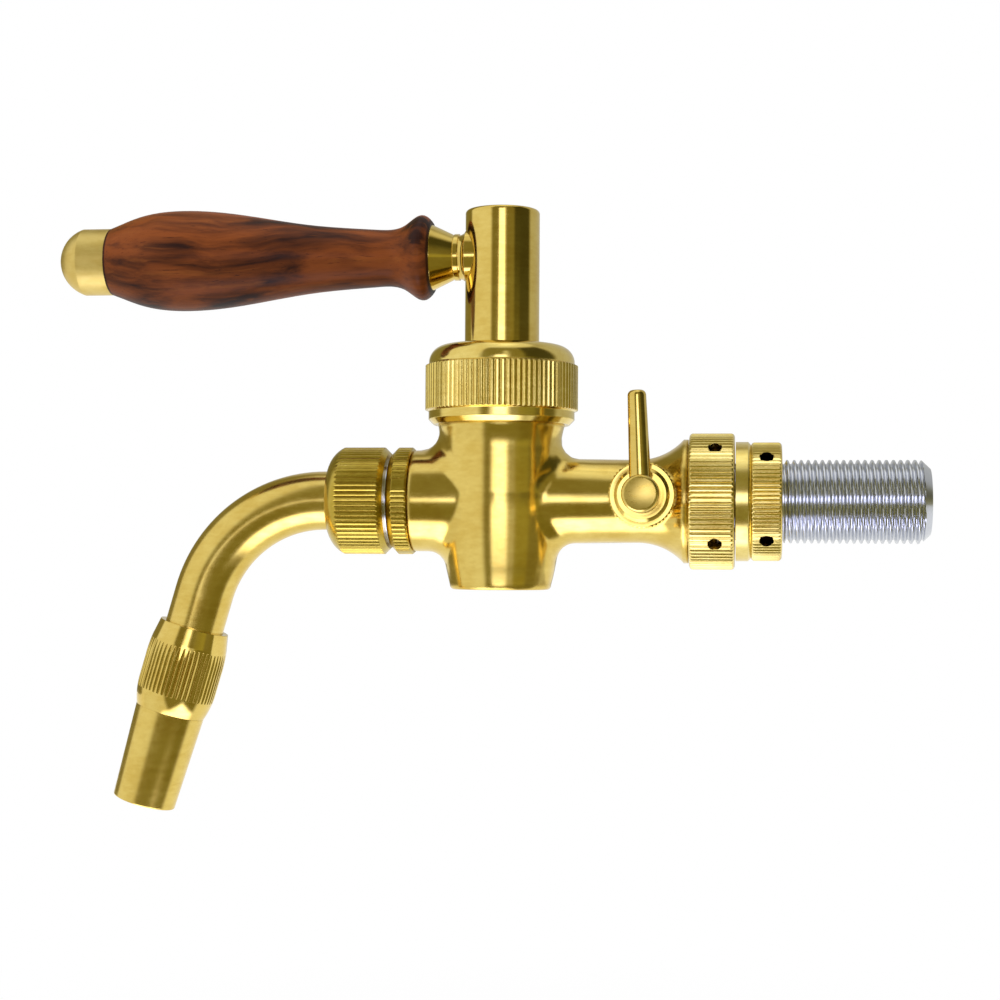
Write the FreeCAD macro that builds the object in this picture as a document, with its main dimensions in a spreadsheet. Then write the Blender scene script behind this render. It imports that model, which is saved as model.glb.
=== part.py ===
import FreeCAD, Part
import math
import os
import re

import Sketcher

# Side-pull beer faucet, in millimetres.
# The origin is on the shank's axis, in the face of the lock nut that bears on the tower.
# +X runs along the shank into the tower, +Z is up, and the compensator lever is on the -Y side.

document = FreeCAD.newDocument("beer_faucet")
sheet = document.addObject("Spreadsheet::Sheet", "Sizes")

# Driving dimensions: name, millimetres or degrees or a count, and what it is.
# Places along the shank are distances from the tower face.
DIMENSIONS = [
    # Shank and what is threaded on it
    ("shank_radius", 12.0, "M24 x 2 thread, outside"),
    ("shank_reach", 41.8, "tower face to the end of the shank"),
    ("thread_pitch_radius", 11.35, "M24 x 2 thread, halfway up its flanks"),
    ("thread_start", 0.5, "tower face to where the thread is free"),
    ("shank_tip_radius", 9.5, "end face of the shank"),
    ("shank_tip_length", 2.6, "cone at the end of the shank"),
    ("inlet_radius", 5.0, "bore for the beer line's tail"),
    ("thread_play", 0.05, "radial room between two threads"),
    ("collar_radius", 17.2, "smooth ring between the two nuts"),
    ("collar_thickness", 4.3, "smooth ring"),
    ("collar_bevel", 0.8, "edge of the smooth ring"),
    ("lock_nut_radius", 17.05, "over the knurl"),
    ("lock_nut_length", 8.8, "lock nut"),
    ("lock_nut_teeth", 84, "knurl"),
    ("nut_bevel", 1.1, "edges of the coupling nut and lock nut"),
    ("nut_countersink", 1.0, "cone at the mouth of the lock nut's thread"),
    ("spanner_hole_radius", 2.0, "pin-spanner holes"),
    ("spanner_hole_depth", 3.4, "pin-spanner holes"),
    ("spanner_holes", 4, "pin-spanner holes round each nut"),
    ("lock_nut_turn", 2.0, "how far the lock nut's holes stand off the corners"),
    ("coupling_nut_turn", 5.0, "how far the coupling nut's holes stand off the corners"),
    ("coupling_nut_radius", 19.65, "over the knurl"),
    ("coupling_nut_length", 13.0, "coupling nut"),
    ("coupling_nut_teeth", 82, "knurl"),
    ("coupling_lip", 1.6, "inward lip that pulls the shank's flange"),
    ("coupling_hole_offset", 7.5, "spanner holes, from the nut's left face"),
    ("flange_radius", 16.0, "shank's flange inside the coupling nut"),
    ("flange_thickness", 2.4, "shank's flange"),
    ("gasket_thickness", 1.0, "flat gaskets"),
    ("nut_gap", 0.3, "between the coupling nut and its neighbours"),
    ("mouth_radius", 8.0, "wide end of the tapered bore in the shank"),
    ("mouth_length", 15.0, "tapered bore in the shank"),
    # Body
    ("valve_setback", 81.4, "tower face to the valve's upright axis"),
    ("barrel_radius", 17.5, "barrel at its middle"),
    ("barrel_foot_radius", 14.8, "barrel at its foot"),
    ("barrel_foot", 25.9, "axis to the underside"),
    ("barrel_belly", 87.0, "radius of the barrel's curved side"),
    ("barrel_shoulder", 22.2, "axis to the underside of the bonnet nut"),
    ("barrel_collar_radius", 18.6, "flare under the bonnet nut"),
    ("barrel_flare", 23.0, "radius of the hollow under the flare"),
    ("barrel_flare_length", 6.7, "hollow under the flare"),
    ("barrel_middle", 2.0, "axis to where the barrel is straight"),
    ("foot_bevel", 1.3, "lower edge of the barrel"),
    ("neck_radius", 18.0, "threaded neck for the bonnet nut"),
    ("neck_top", 36.0, "axis to the top of the neck"),
    ("inlet_root_radius", 12.6, "right branch, carried on to the valve axis"),
    ("inlet_branch_radius", 12.05, "right branch, beside its flare"),
    ("lip_radius", 17.9, "flared end of the right branch"),
    ("lip_width", 1.3, "cylinder at the flared end"),
    ("flare_length", 13.6, "flare of the right branch"),
    ("flare_curve", 18.0, "radius of the flare's hollow"),
    ("body_thread_radius", 16.6, "male thread under the coupling nut"),
    ("spout_branch_radius", 14.85, "left branch"),
    ("spout_branch_reach", 25.7, "valve axis to the left branch's end"),
    ("branch_fillet", 5.5, "hollow between barrel and branches"),
    ("branch_edge", 0.7, "rounded end of the left branch"),
    ("branch_bore", 8.0, "right branch, beside the compensator"),
    ("chamber_radius", 11.2, "bore round the ball"),
    ("seat_face", 7.0, "valve axis to the seats' near faces"),
    ("carrier_thread_radius", 12.4, "stainless sleeve, outside"),
    ("carrier_step", 12.7, "valve axis to the sleeve's step"),
    # Ball valve
    ("ball_radius", 10.0, "ball"),
    ("ball_bore", 5.0, "hole through the ball"),
    ("running_play", 0.06, "radial room of a running fit"),
    ("seat_bore", 5.2, "hole in the seats"),
    ("seat_radius", 8.9, "seats, outside"),
    ("seat_back", 11.0, "valve axis to the seats' far faces"),
    ("slot_width", 4.2, "driving slot in the ball"),
    ("slot_depth", 2.6, "driving slot in the ball"),
    ("tang_play", 0.1, "tongue of the spindle in the slot, each side"),
    ("tang_length", 8.0, "tongue of the spindle"),
    # Bonnet
    ("cavity_radius", 13.5, "socket in the neck"),
    ("cavity_floor", 14.0, "axis to the floor of the socket"),
    ("stem_radius", 6.0, "lower stem of the spindle"),
    ("bushing_flange_radius", 17.4, "bushing's flange on the neck"),
    ("bushing_floor", 30.6, "axis to the spindle's seat in the bushing"),
    ("spindle_foot_radius", 12.5, "foot of the spindle, held under the nut"),
    ("bonnet_ceiling", 38.9, "axis to the inside top of the nut"),
    ("washer_thickness", 0.8, "thrust washer"),
    ("bonnet_nut_radius", 22.4, "over the knurl"),
    ("bonnet_nut_teeth", 87, "knurl"),
    ("bonnet_waist_radius", 21.4, "smooth bands of the nut"),
    ("bonnet_knurl_bottom", 26.6, "axis to the lower edge of the knurl"),
    ("bonnet_knurl_top", 39.5, "axis to the upper edge of the knurl"),
    ("bonnet_top", 45.5, "axis to the top of the nut"),
    ("bonnet_dome", 5.1, "rounded shoulder of the nut"),
    ("bonnet_lead", 1.5, "bevel under the nut"),
    ("bonnet_step", 0.5, "slope between the knurl and the smooth bands"),
    ("bonnet_hole_play", 0.3, "room round the spindle in the nut's top"),
    ("bonnet_gasket_thickness", 0.6, "gasket under the bushing's flange"),
    ("stem_ring_low", 19.0, "axis to the lower O-ring on the stem"),
    ("stem_ring_high", 25.0, "axis to the upper O-ring on the stem"),
    ("stop_pin_radius", 1.3, "quarter-turn stop"),
    ("stop_pin_orbit", 9.6, "valve axis to the stop pin"),
    ("stop_pin_height", 2.6, "stop pin below the spindle's foot"),
    ("handle_travel", 90.0, "turn of the handle"),
    # Spindle and handle
    ("spindle_radius", 10.92, "upright post"),
    ("spindle_top", 85.5, "axis to the top of the post"),
    ("spindle_edge", 1.1, "rounded top edge of the post"),
    ("handle_height", 71.9, "axis to the handle's axis"),
    ("rod_radius", 3.0, "rod through the handle"),
    ("ferrule_seat_radius", 8.0, "foot of the ferrule in the spindle"),
    ("ferrule_seat_reach", 7.0, "spindle's axis to the ferrule's foot"),
    ("ferrule_flare", 2.6, "hollow between neck and foot"),
    ("ferrule_neck_radius", 6.45, "narrowest part of the ferrule"),
    ("ferrule_neck_reach", 12.7, "spindle's axis to the ring on the neck"),
    ("ferrule_ring_radius", 6.85, "thin ring on the neck"),
    ("ferrule_ring_width", 1.3, "thin ring on the neck"),
    ("ferrule_flare_length", 2.2, "hollow between neck and foot"),
    ("ferrule_cone_reach", 20.7, "spindle's axis to the wood"),
    ("ferrule_cone_radius", 9.65, "wide end of the ferrule"),
    ("tenon_radius", 6.0, "ferrule inside the wood"),
    ("tenon_length", 6.0, "ferrule inside the wood"),
    ("grip_length", 97.9, "wood"),
    ("grip_mouth_radius", 10.4, "wood beside the ferrule"),
    ("grip_bead_radius", 12.5, "bead at the wood's inner end"),
    ("grip_bead_place", 3.3, "wood's inner end to the bead"),
    ("grip_cove_radius", 9.6, "hollow behind the bead"),
    ("grip_cove_place", 8.1, "wood's inner end to the hollow"),
    ("grip_waist_radius", 8.48, "slimmest part of the wood"),
    ("grip_waist_place", 16.7, "wood's inner end to the waist"),
    ("grip_slope_radius", 10.2, "wood on the way to the belly"),
    ("grip_slope_place", 37.1, "wood's inner end to there"),
    ("grip_swell_radius", 13.7, "wood before the belly"),
    ("grip_swell_place", 59.1, "wood's inner end to there"),
    ("grip_belly_radius", 14.95, "thickest part of the wood"),
    ("grip_belly_place", 73.9, "wood's inner end to the belly"),
    ("grip_back_radius", 13.27, "wood behind the belly"),
    ("grip_back_place", 9.1, "wood's outer end to there"),
    ("grip_heel_radius", 10.55, "wood beside the knob"),
    ("grip_heel_place", 1.6, "wood's outer end to there"),
    ("knob_radius", 9.95, "brass end of the handle"),
    ("knob_length", 15.8, "brass end of the handle"),
    ("knob_dome", 7.3, "height of the rounded end"),
    ("rod_end_gap", 8.5, "tip of the knob to the rod's end"),
    # Spout side
    ("carrier_bore", 6.5, "sleeve, inside"),
    ("lock_ring_length", 6.3, "narrow knurled ring"),
    ("lock_ring_radius", 15.7, "over the knurl"),
    ("lock_ring_teeth", 66, "knurl"),
    ("lock_ring_lands", 4, "smooth places in the ring's knurl"),
    ("lock_ring_land", 11.5, "smooth place, degrees round the ring"),
    ("lock_ring_turn", 15.5, "how far the smooth places stand off the level"),
    ("lock_ring_slope", 2.0, "bevel on the spout side of the ring"),
    ("lock_ring_edge", 0.5, "bevel on the body side of the ring"),
    ("sleeve_show", 0.9, "stainless showing between ring and nut"),
    ("spout_nut_radius", 15.73, "over the knurl"),
    ("spout_nut_length", 17.9, "spout nut"),
    ("spout_nut_teeth", 66, "knurl"),
    ("spout_nut_dome", 8.0, "radius of the nut's rounded end"),
    ("spout_nut_round", 4.5, "length of the nut's rounded end"),
    ("spout_nut_edge", 1.6, "bevel on the body side of the nut"),
    ("spout_nut_face_radius", 9.9, "end face of the spout nut"),
    ("spout_nut_lip", 3.8, "inward lip that pulls the spout's flange"),
    ("spout_radius", 8.65, "spout tube, outside"),
    ("spout_bore", 7.0, "spout tube, inside"),
    ("spout_flange_radius", 12.2, "flange of the spout tube"),
    ("spout_flange_thickness", 2.2, "flange of the spout tube"),
    ("spout_straight", 7.75, "flange face to the bend"),
    ("bend_radius", 38.0, "middle line of the bend"),
    ("bend_angle", 74.0, "turn of the spout"),
    ("spout_drop", 10.5, "bend to the nozzle collar"),
    ("spout_socket", 6.0, "tube inside the nozzle collar"),
    ("nozzle_collar_length", 26.2, "nozzle collar"),
    ("nozzle_collar_radius", 11.6, "nozzle collar at its middle"),
    ("nozzle_collar_end_radius", 10.25, "nozzle collar at its ends"),
    ("nozzle_shoulder_radius", 11.25, "nozzle collar where its knurl starts"),
    ("nozzle_shoulder", 5.2, "collar's upper end to there"),
    ("nozzle_swell", 12.0, "collar's upper end to its widest part"),
    ("nozzle_swell_curve", 42.0, "radius of the collar's upper side"),
    ("nozzle_taper", 7.8, "collar's lower end to its widest part"),
    ("nozzle_taper_curve", 24.0, "radius of the collar's lower side"),
    ("nozzle_teeth", 50, "knurl"),
    ("nozzle_knurl_start", 5.9, "collar's upper end to the knurl"),
    ("nozzle_knurl_length", 14.9, "knurl on the nozzle collar"),
    ("nozzle_cavity", 9.6, "nozzle collar, inside"),
    ("nozzle_tip_length", 28.1, "tapered tip below the collar"),
    ("nozzle_end_radius", 9.3, "end of the tip"),
    ("nozzle_bore", 8.0, "tip, inside"),
    ("nozzle_edge", 0.4, "rounded lower edge of the tip"),
    ("nozzle_seal_thickness", 0.8, "ring that the tip presses on the screens"),
    ("screen_gap", 5.0, "between the two screens"),
    ("screen_thickness", 0.6, "perforated screens"),
    ("screen_hole", 2.0, "holes in the screens"),
    ("screen_orbit", 5.6, "ring of holes in the screens"),
    ("screen_holes", 6, "holes in that ring"),
    # Compensator
    ("lever_setback", 39.2, "tower face to the lever's axis"),
    ("lever_height", 1.3, "shank's axis to the lever's axis"),
    ("boss_radius", 9.0, "round boss on the right branch"),
    ("boss_face", 15.6, "shank's axis to the boss's face"),
    ("gland_bore", 7.0, "threaded bore in the boss"),
    ("gland_floor", 10.7, "shank's axis to the floor of that bore"),
    ("gland_nut_radius", 9.5, "over the fine knurl"),
    ("gland_nut_flange", 3.2, "head of the gland nut"),
    ("gland_ring_radius", 7.8, "raised ring on the gland nut"),
    ("gland_ring_height", 0.9, "raised ring on the gland nut"),
    ("gland_edge", 0.5, "bevel of the gland nut's head"),
    ("gland_nut_teeth", 48, "knurl"),
    ("gland_thread_length", 3.5, "gland nut inside the boss"),
    ("shaft_radius", 3.5, "compensator shaft"),
    ("shaft_flange_radius", 6.2, "flange that keeps the shaft in"),
    ("shaft_foot_radius", 4.5, "shaft through the wall"),
    ("hub_radius", 5.3, "round head of the shaft"),
    ("hub_length", 8.3, "round head of the shaft"),
    ("hub_edge", 0.9, "rounded edge of the head"),
    ("hub_gap", 0.5, "between the head and the gland nut"),
    ("eccentric", 2.2, "shaft's axis to the crank pin"),
    ("crank_pin_radius", 1.3, "crank pin"),
    ("crank_pin_length", 3.6, "crank pin"),
    ("crank_play", 0.25, "crank pin in the groove, each side"),
    ("lever_length", 29.0, "shaft's axis to the lever's tip"),
    ("lever_root_radius", 3.05, "lever at the hub"),
    ("lever_tip_radius", 2.6, "lever at its tip"),
    ("lever_lean", 2.4, "lean of the lever at rest"),
    ("lever_spigot", 2.4, "lever inside the hub"),
    ("lever_spigot_end", 1.2, "shaft's axis to the end of that"),
    ("lever_tip_edge", 1.5, "rounded tip of the lever"),
    ("piston_radius", 7.7, "guide rings of the piston"),
    ("piston_core", 4.2, "floor of the piston's groove"),
    ("piston_ring_left", 5.6, "left guide ring"),
    ("piston_ring_right", 4.2, "right guide ring"),
    ("piston_neck", 5.0, "between the rings and the cone"),
    ("piston_gap", 0.5, "room round the cone at rest"),
    ("piston_cone_length", 13.0, "cone in the shank's mouth"),
    ("piston_slot_width", 5.0, "grooves that let the beer past the rings"),
    ("piston_slot_floor", 5.4, "axis to the floor of those grooves"),
    ("piston_slots", 3, "grooves that let the beer past"),
    ("piston_nose", 1.2, "rounded nose of the cone"),
    # Shared
    ("tooth_depth", 0.42, "depth of the straight knurls"),
    ("tooth_splay", 0.5, "half the width of a knurl's groove at the surface"),
    ("ring_groove_width", 2.0, "grooves for the O-rings"),
    ("end_play", 0.05, "lengthwise room of a running fit"),
    ("overshoot", 1.0, "how far a cut runs past the surface"),
    ("ring_section", 0.85, "radius of an O-ring's section"),
    ("fit_play", 0.05, "radial room of a close fit"),
]

# Places worked out from the dimensions above.
PLACES = [
    ("collar_left", "lock_nut_length + collar_thickness", "left face of the smooth ring"),
    ("coupling_right", "collar_left + nut_gap", "right face of the coupling nut"),
    ("coupling_left", "coupling_right + coupling_nut_length", "left face of the coupling nut"),
    ("flange_back", "coupling_right + coupling_lip", "right face of the shank's flange"),
    ("flange_front", "flange_back + flange_thickness", "left face of the shank's flange"),
    ("body_end", "flange_front + gasket_thickness", "right end of the body"),
    ("lip_back", "coupling_left + nut_gap", "right face of the body's lip"),
    ("lip_front", "lip_back + lip_width", "left edge of the body's lip"),
    ("branch_end", "valve_setback + spout_branch_reach", "left end of the body"),
    ("lock_ring_end", "branch_end + lock_ring_length", "left face of the lock ring"),
    ("spout_nut_right", "lock_ring_end + sleeve_show", "right face of the spout nut"),
    ("spout_nut_left", "spout_nut_right + spout_nut_length", "left face of the spout nut"),
    ("spout_flange_left", "spout_nut_left - spout_nut_lip", "left face of the spout's flange"),
    ("spout_flange_right", "spout_flange_left - spout_flange_thickness", "its right face"),
    ("carrier_end", "spout_flange_right - gasket_thickness", "left end of the sleeve"),
    ("seat_sphere", "ball_radius + running_play", "hollow of the seats"),
    ("seat_inner_edge", "sqrt(seat_sphere^2 - seat_bore^2)", "hollow meets the seat's bore"),
    ("seat_outer_edge", "sqrt(seat_sphere^2 - seat_face^2)", "hollow meets the seat's face"),
    ("bend_start", "spout_flange_right + spout_straight", "where the spout starts to turn"),
    ("bend_end", "bend_start + bend_radius * sin(bend_angle)", "where it runs straight again"),
    ("bend_drop", "bend_radius * (1 - cos(bend_angle))", "fall of the spout in its bend"),
    ("nozzle_x", "bend_end + spout_drop * cos(bend_angle)", "upper end of the nozzle collar"),
    ("nozzle_z", "bend_drop + spout_drop * sin(bend_angle)", "upper end of the nozzle collar"),
    ("wood_right", "valve_setback + ferrule_cone_reach", "inner end of the wood"),
    ("wood_left", "wood_right + grip_length", "outer end of the wood"),
    ("knob_end", "wood_left + knob_length", "tip of the knob"),
    ("knob_dome_curve", "(knob_dome^2 + knob_radius^2) / (2 * knob_dome)", "round end, centred on the axis"),
    ("rod_left", "knob_end - rod_end_gap", "outer end of the rod"),
    ("gland_front", "boss_face + gland_nut_flange", "front of the gland nut's head"),
    ("gland_end", "boss_face - gland_thread_length", "inner end of the gland nut"),
    ("gland_ring_seat", "shaft_radius + running_play + 2 * ring_section", "O-ring's pocket"),
    ("hub_back", "gland_front + gland_ring_height + hub_gap", "back of the hub"),
    ("hub_front", "hub_back + hub_length", "front of the hub"),
    ("hub_middle", "hub_back + hub_length / 2", "where the lever enters the hub"),
    ("mouth_slope", "(mouth_radius - inlet_radius) / mouth_length", "taper of the shank's mouth"),
    ("groove_half", "crank_pin_radius + crank_play", "half the piston's groove"),
    ("cone_end", "lever_setback - flange_front + piston_cone_length", "small end of the piston's cone"),
    ("cone_tip_radius", "mouth_radius - piston_gap - mouth_slope * piston_cone_length", "that end"),
    ("stem_bottom", "ball_radius + 10 * running_play", "lower end of the spindle's stem"),
    ("bushing_flange", "neck_top + bonnet_gasket_thickness", "underside of the bushing's flange"),
    ("foot_top", "bonnet_ceiling - washer_thickness", "top of the spindle's foot"),
    ("stop_pin_room", "stop_pin_radius + fit_play", "half the width of the stop's slot"),
    ("stem_bore", "stem_radius + running_play", "holes round the stem"),
    ("stem_ring_orbit", "stem_bore + ring_section", "middle circle of the stem's O-rings"),
    ("tip_start", "spout_socket + 2 * screen_thickness + screen_gap + nozzle_seal_thickness",
     "upper end of the nozzle tip, from the collar's upper end"),
    ("lever_seat", "sqrt(hub_radius^2 - lever_root_radius^2) - fit_play", "lever's seat on the hub"),
]

for row, (name, amount, meaning) in enumerate(DIMENSIONS, start=1):
    sheet.set(f"A{row}", name)
    sheet.set(f"B{row}", str(amount))
    sheet.set(f"C{row}", meaning)
    sheet.setAlias(f"B{row}", name)
document.recompute()
for row, (name, formula, meaning) in enumerate(PLACES, start=len(DIMENSIONS) + 2):
    sheet.set(f"A{row}", name)
    sheet.set(f"B{row}", "=" + formula)
    sheet.set(f"C{row}", meaning)
    sheet.setAlias(f"B{row}", name)
    document.recompute()

FUNCTIONS = {"sin", "cos", "tan", "sqrt", "abs"}


def bound(text):
    """Point every size named in an expression at the sheet."""
    def from_sheet(word):
        return word.group(0) if word.group(0) in FUNCTIONS else "Sizes." + word.group(0)
    return re.sub(r"[a-z][a-z_]*", from_sheet, str(text))


def number(text):
    """Work out an expression on the sheet's sizes."""
    result = sheet.evalExpression(bound(text))
    return float(getattr(result, "Value", result))


def new_body(label, x="0", y="0", z="0", turn=None):
    """Start a piece whose own origin is at a named place, turned by an angle about X, Y or Z."""
    body = document.addObject("PartDesign::Body", label)
    body.Label = label
    if turn:
        letter, angle = turn
        axis = FreeCAD.Vector(*(1 if name == letter else 0 for name in "XYZ"))
        body.Placement = FreeCAD.Placement(FreeCAD.Vector(), FreeCAD.Rotation(axis, 1))
        body.setExpression("Placement.Rotation.Angle", f"({bound(angle)}) * 1 deg")
    for letter, place in zip("xyz", (x, y, z)):
        if place != "0":
            body.setExpression(f"Placement.Base.{letter}", f"({bound(place)}) * 1 mm")
    return body


def own(body, role):
    """One of a body's own origin planes or axes."""
    return next(item for item in body.Origin.OriginFeatures if item.Role == role)


def sketch_on(body, role, lift=None):
    """A sketch on one of the body's own origin planes, lifted off it if need be."""
    sketch = body.newObject("Sketcher::SketchObject", body.Label + "_sketch")
    sketch.AttachmentSupport = [(own(body, role), "")]
    sketch.MapMode = "FlatFace"
    if lift:
        sketch.setExpression("AttachmentOffset.Base.z", f"({bound(lift)}) * 1 mm")
    return sketch


def pin_point(sketch, edge, end, x, y):
    """Hold a point of a sketch at a bound place."""
    for kind, place in (("DistanceX", x), ("DistanceY", y)):
        held = sketch.addConstraint(Sketcher.Constraint(kind, -1, 1, edge, end, number(place)))
        sketch.setExpression(f"Constraints[{held}]", f"({bound(place)}) * 1 mm")


def pin_radius(sketch, edge, radius):
    """Hold the radius of an arc or a circle."""
    held = sketch.addConstraint(Sketcher.Constraint("Radius", edge, abs(number(radius))))
    sketch.setExpression(f"Constraints[{held}]", f"abs({bound(radius)}) * 1 mm")


def draw_edge(sketch, begin, finish, radius):
    """A line or, with a radius, an arc; returns it with its first and last point's numbers."""
    if radius is None:
        return sketch.addGeometry(Part.LineSegment(begin, finish), False), 1, 2
    chord = finish - begin
    inward = FreeCAD.Vector(chord.y, -chord.x, 0).normalize() * math.copysign(1, radius)
    middle = (begin + finish) * 0.5 + inward * math.sqrt(radius * radius - chord.Length ** 2 / 4)
    first, last = (finish, begin) if radius > 0 else (begin, finish)
    angles = [math.atan2(place.y - middle.y, place.x - middle.x) for place in (first, last)]
    if angles[1] < angles[0]:
        angles[1] += 2 * math.pi
    circle = Part.Circle(middle, FreeCAD.Vector(0, 0, 1), abs(radius))
    edge = sketch.addGeometry(Part.ArcOfCircle(circle, *angles), False)
    return (edge, 2, 1) if radius > 0 else (edge, 1, 2)


def draw_wire(sketch, corners, closed=True):
    """Join (x, y) corners; a corner (x, y, r) is reached on an arc of radius r.

    A positive r bulges to the left of the way travelled, a negative one to the right.
    """
    places = [FreeCAD.Vector(number(corner[0]), number(corner[1]), 0) for corner in corners]
    steps = range(len(corners)) if closed else range(1, len(corners))
    edges = []
    for step in steps:
        radius = number(corners[step][2]) if len(corners[step]) == 3 else None
        edges.append(draw_edge(sketch, places[step - 1], places[step], radius))
    for place, step in enumerate(steps):
        edge, start, end = edges[place]
        if place == 0 and not closed:
            pin_point(sketch, edge, start, *corners[0][:2])
        if closed or place < len(edges) - 1:
            following = edges[(place + 1) % len(edges)]
            sketch.addConstraint(Sketcher.Constraint("Coincident", edge, end, following[0], following[1]))
        pin_point(sketch, edge, end, *corners[step][:2])
        if len(corners[step]) == 3:
            pin_radius(sketch, edge, corners[step][2])


def draw_circle(sketch, x, y, radius):
    """A circle with its middle and radius bound."""
    middle = FreeCAD.Vector(number(x), number(y), 0)
    edge = sketch.addGeometry(Part.Circle(middle, FreeCAD.Vector(0, 0, 1), number(radius)), False)
    pin_point(sketch, edge, 3, x, y)
    pin_radius(sketch, edge, radius)


def spin(body, corners, role="XZ_Plane", axis="H_Axis", kind="Revolution", pivot=None, lift=None,
         angle=None, both=False):
    """Turn an outline round an axis of its plane, or round an upright line at a named place."""
    sketch = sketch_on(body, role, lift)
    if pivot:
        place = number(pivot)
        ends = FreeCAD.Vector(place, -1, 0), FreeCAD.Vector(place, 1, 0)
        line = sketch.addGeometry(Part.LineSegment(*ends), True)
        pin_point(sketch, line, 1, pivot, "-1")
        pin_point(sketch, line, 2, pivot, "1")
        axis = "Axis0"
    draw_wire(sketch, corners)
    feature = body.newObject("PartDesign::" + kind, body.Label + "_" + kind.lower())
    feature.Profile = sketch
    feature.ReferenceAxis = (sketch, [axis])
    feature.Angle = 360
    if angle:
        feature.setExpression("Angle", f"({bound(angle)}) * 1 deg")
        feature.Reversed = not both
        feature.Midplane = both
    document.recompute()
    return feature


def turned(label, corners, **place):
    """A piece turned on a lathe about a line along X; corners are (place along it, radius)."""
    body = new_body(label, **place)
    spin(body, corners)
    return body


def upright(label, corners):
    """A piece turned about the valve's upright axis; corners are (radius, height)."""
    body = new_body(label, x="-valve_setback")
    spin(body, corners, axis="V_Axis")
    return body


def press(body, sketch, length, kind="Pocket", reverse=False, both=False):
    """Raise or sink a sketch by a bound length."""
    feature = body.newObject("PartDesign::" + kind, body.Label + "_" + kind.lower())
    feature.Profile = sketch
    feature.setExpression("Length", f"({bound(length)}) * 1 mm")
    feature.Reversed = reverse
    feature.Midplane = both
    document.recompute()
    return feature


def repeat(body, feature, count, role):
    """Repeat a feature all the way round one of the body's own axes."""
    pattern = body.newObject("PartDesign::PolarPattern", body.Label + "_pattern")
    pattern.Originals = [feature]
    pattern.Axis = (own(body, role), [""])
    pattern.Angle = 360
    pattern.setExpression("Occurrences", bound(count))
    body.Tip = pattern
    document.recompute()


def knurl(body, radius, count, start, length, role="YZ_Plane", axis="X_Axis"):
    """Cut straight V grooves side by side round a cylinder."""
    sketch = sketch_on(body, role, start)
    rise = "tooth_splay * (1 + overshoot / tooth_depth)"
    draw_wire(sketch, [
        (f"-{rise}", f"{radius} + overshoot"),
        ("0", f"{radius} - tooth_depth"),
        (rise, f"{radius} + overshoot"),
    ])
    groove = press(body, sketch, length, reverse=True)
    repeat(body, groove, count, axis)


def spanner_holes(body, radius, offset):
    """Four holes round a nut for a pin spanner."""
    sketch = sketch_on(body, "XZ_Plane", f"{radius} + overshoot")
    draw_circle(sketch, offset, "0", "spanner_hole_radius")
    hole = press(body, sketch, "spanner_hole_depth + overshoot")
    repeat(body, hole, "spanner_holes", "X_Axis")


def primitive(kind, label, sizes, x="0", y="0", z="0", turn=None):
    """A bound Part primitive at a named place."""
    item = document.addObject(kind, label)
    item.Label = label
    if turn:
        letter, angle = turn
        axis = FreeCAD.Vector(*(1 if name == letter else 0 for name in "XYZ"))
        item.Placement = FreeCAD.Placement(FreeCAD.Vector(), FreeCAD.Rotation(axis, angle))
    for name, amount in sizes.items():
        item.setExpression(name, f"({bound(amount)}) * 1 mm")
    for letter, place in zip("xyz", (x, y, z)):
        if place != "0":
            item.setExpression(f"Placement.Base.{letter}", f"({bound(place)}) * 1 mm")
    return item


pieces = []

# Faucet body: a machined brass casting, bored through for the beer and socketed for the spindle

faucet_body = new_body("faucet_body")
spin(faucet_body, pivot="-valve_setback", corners=[
    ("-valve_setback", "-barrel_foot"),
    ("-valve_setback + barrel_foot_radius - foot_bevel", "-barrel_foot"),
    ("-valve_setback + barrel_foot_radius", "-barrel_foot + foot_bevel", "-foot_bevel"),
    ("-valve_setback + barrel_radius", "barrel_middle", "-barrel_belly"),
    ("-valve_setback + barrel_radius", "barrel_shoulder - barrel_flare_length"),
    ("-valve_setback + barrel_collar_radius", "barrel_shoulder", "barrel_flare"),
    ("-valve_setback + neck_radius", "barrel_shoulder"),
    ("-valve_setback + neck_radius", "neck_top"),
    ("-valve_setback", "neck_top"),
])
spin(faucet_body, [
    ("-valve_setback", "0"),
    ("-valve_setback", "inlet_root_radius"),
    ("-lip_front - flare_length", "inlet_branch_radius"),
    ("-lip_front", "lip_radius", "-flare_curve"),
    ("-lip_back", "lip_radius"),
    ("-lip_back", "body_thread_radius"),
    ("-body_end", "body_thread_radius"),
    ("-body_end", "0"),
])
branches = spin(faucet_body, [
    ("-branch_end", "0"),
    ("-branch_end", "spout_branch_radius - branch_edge"),
    ("-branch_end + branch_edge", "spout_branch_radius", "branch_edge"),
    ("-valve_setback", "spout_branch_radius"),
    ("-valve_setback", "0"),
])
inner_corners = [
    f"Edge{number_of_edge}" for number_of_edge, edge in enumerate(branches.Shape.Edges, start=1)
    if isinstance(edge.Curve, Part.BSplineCurve)
]
hollow = faucet_body.newObject("PartDesign::Fillet", "faucet_body_fillet")
hollow.Base = (branches, inner_corners)
hollow.setExpression("Radius", bound("branch_fillet") + " * 1 mm")
document.recompute()
boss = sketch_on(faucet_body, "XZ_Plane")
draw_circle(boss, "-lever_setback", "lever_height", "boss_radius")
press(faucet_body, boss, "boss_face", kind="Pad")
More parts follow.
